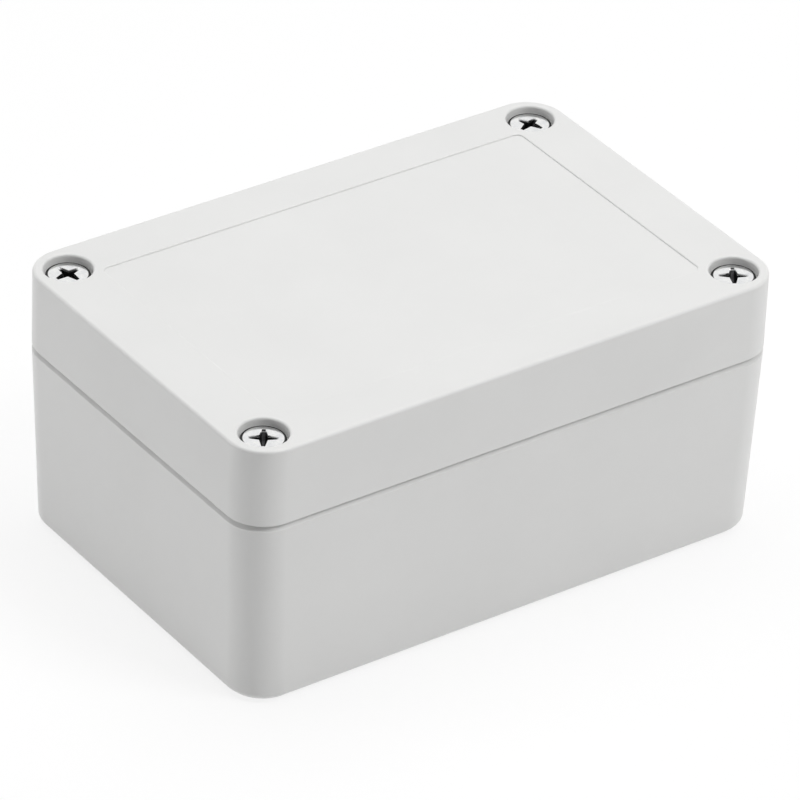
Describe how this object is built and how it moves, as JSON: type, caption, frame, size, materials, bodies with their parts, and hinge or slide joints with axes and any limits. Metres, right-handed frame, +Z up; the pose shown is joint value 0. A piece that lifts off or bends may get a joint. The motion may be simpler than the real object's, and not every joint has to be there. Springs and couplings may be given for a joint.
{
  "type": "plastic project box",
  "caption": "Sealed plastic project box with a deep lid, corner lid screws in brass inserts, a gasket, board bosses, card guides and hidden wall-mounting wells.",
  "frame": {"origin": "centre of the underside of the base, on the surface that the box stands on", "axes": "+Z up through the lid, +X along the length, +Y across the width towards the rear"},
  "size_m": [0.12, 0.0794, 0.056],
  "materials": {
    "housing": "light grey, smooth with a faint satin gloss",
    "seal": "soft black elastomer, matt",
    "screw": "bright polished steel",
    "washer": "black nylon, satin",
    "insert": "turned brass"
  },
  "bodies": {
    "base": {"base": "housing", "insert_front_left": "insert", "insert_front_right": "insert", "insert_rear_left": "insert", "insert_rear_right": "insert"},
    "lid": {"lid": "housing", "gasket": "seal"},
    "washer_front_left": {"washer_front_left": "washer"},
    "screw_front_left": {"screw_front_left": "screw"},
    "washer_front_right": {"washer_front_right": "washer"},
    "screw_front_right": {"screw_front_right": "screw"},
    "washer_rear_left": {"washer_rear_left": "washer"},
    "screw_rear_left": {"screw_rear_left": "screw"},
    "washer_rear_right": {"washer_rear_right": "washer"},
    "screw_rear_right": {"screw_rear_right": "screw"}
  },
  "joints": [
    {"name": "lid_lift", "type": "slide", "parent": "base", "child": "lid", "axis": [0, 0, 1], "range_m": [0, 0.045]},
    {"name": "screw_rise_front_left", "type": "slide", "parent": "lid", "child": "washer_front_left", "axis": [0, 0, 1], "range_m": [0, 0.0084]},
    {"name": "screw_turn_front_left", "type": "hinge", "parent": "washer_front_left", "child": "screw_front_left", "pos_m": [-0.053, -0.03275, 0.0521], "axis": [0, 0, 1], "range_deg": [0, 4321]},
    {"name": "screw_rise_front_right", "type": "slide", "parent": "lid", "child": "washer_front_right", "axis": [0, 0, 1], "range_m": [0, 0.0084]},
    {"name": "screw_turn_front_right", "type": "hinge", "parent": "washer_front_right", "child": "screw_front_right", "pos_m": [0.053, -0.03275, 0.0521], "axis": [0, 0, 1], "range_deg": [0, 4321]},
    {"name": "screw_rise_rear_left", "type": "slide", "parent": "lid", "child": "washer_rear_left", "axis": [0, 0, 1], "range_m": [0, 0.0084]},
    {"name": "screw_turn_rear_left", "type": "hinge", "parent": "washer_rear_left", "child": "screw_rear_left", "pos_m": [-0.053, 0.03275, 0.0521], "axis": [0, 0, 1], "range_deg": [0, 4321]},
    {"name": "screw_rise_rear_right", "type": "slide", "parent": "lid", "child": "washer_rear_right", "axis": [0, 0, 1], "range_m": [0, 0.0084]},
    {"name": "screw_turn_rear_right", "type": "hinge", "parent": "washer_rear_right", "child": "screw_rear_right", "pos_m": [0.053, 0.03275, 0.0521], "axis": [0, 0, 1], "range_deg": [0, 4321]}
  ],
  "couplings": [
    {"joint": "screw_turn_front_left", "follows": "screw_rise_front_left", "rad_per_m": 8976},
    {"joint": "screw_turn_front_right", "follows": "screw_rise_front_right", "rad_per_m": 8976},
    {"joint": "screw_turn_rear_left", "follows": "screw_rise_rear_left", "rad_per_m": 8976},
    {"joint": "screw_turn_rear_right", "follows": "screw_rise_rear_right", "rad_per_m": 8976}
  ]
}
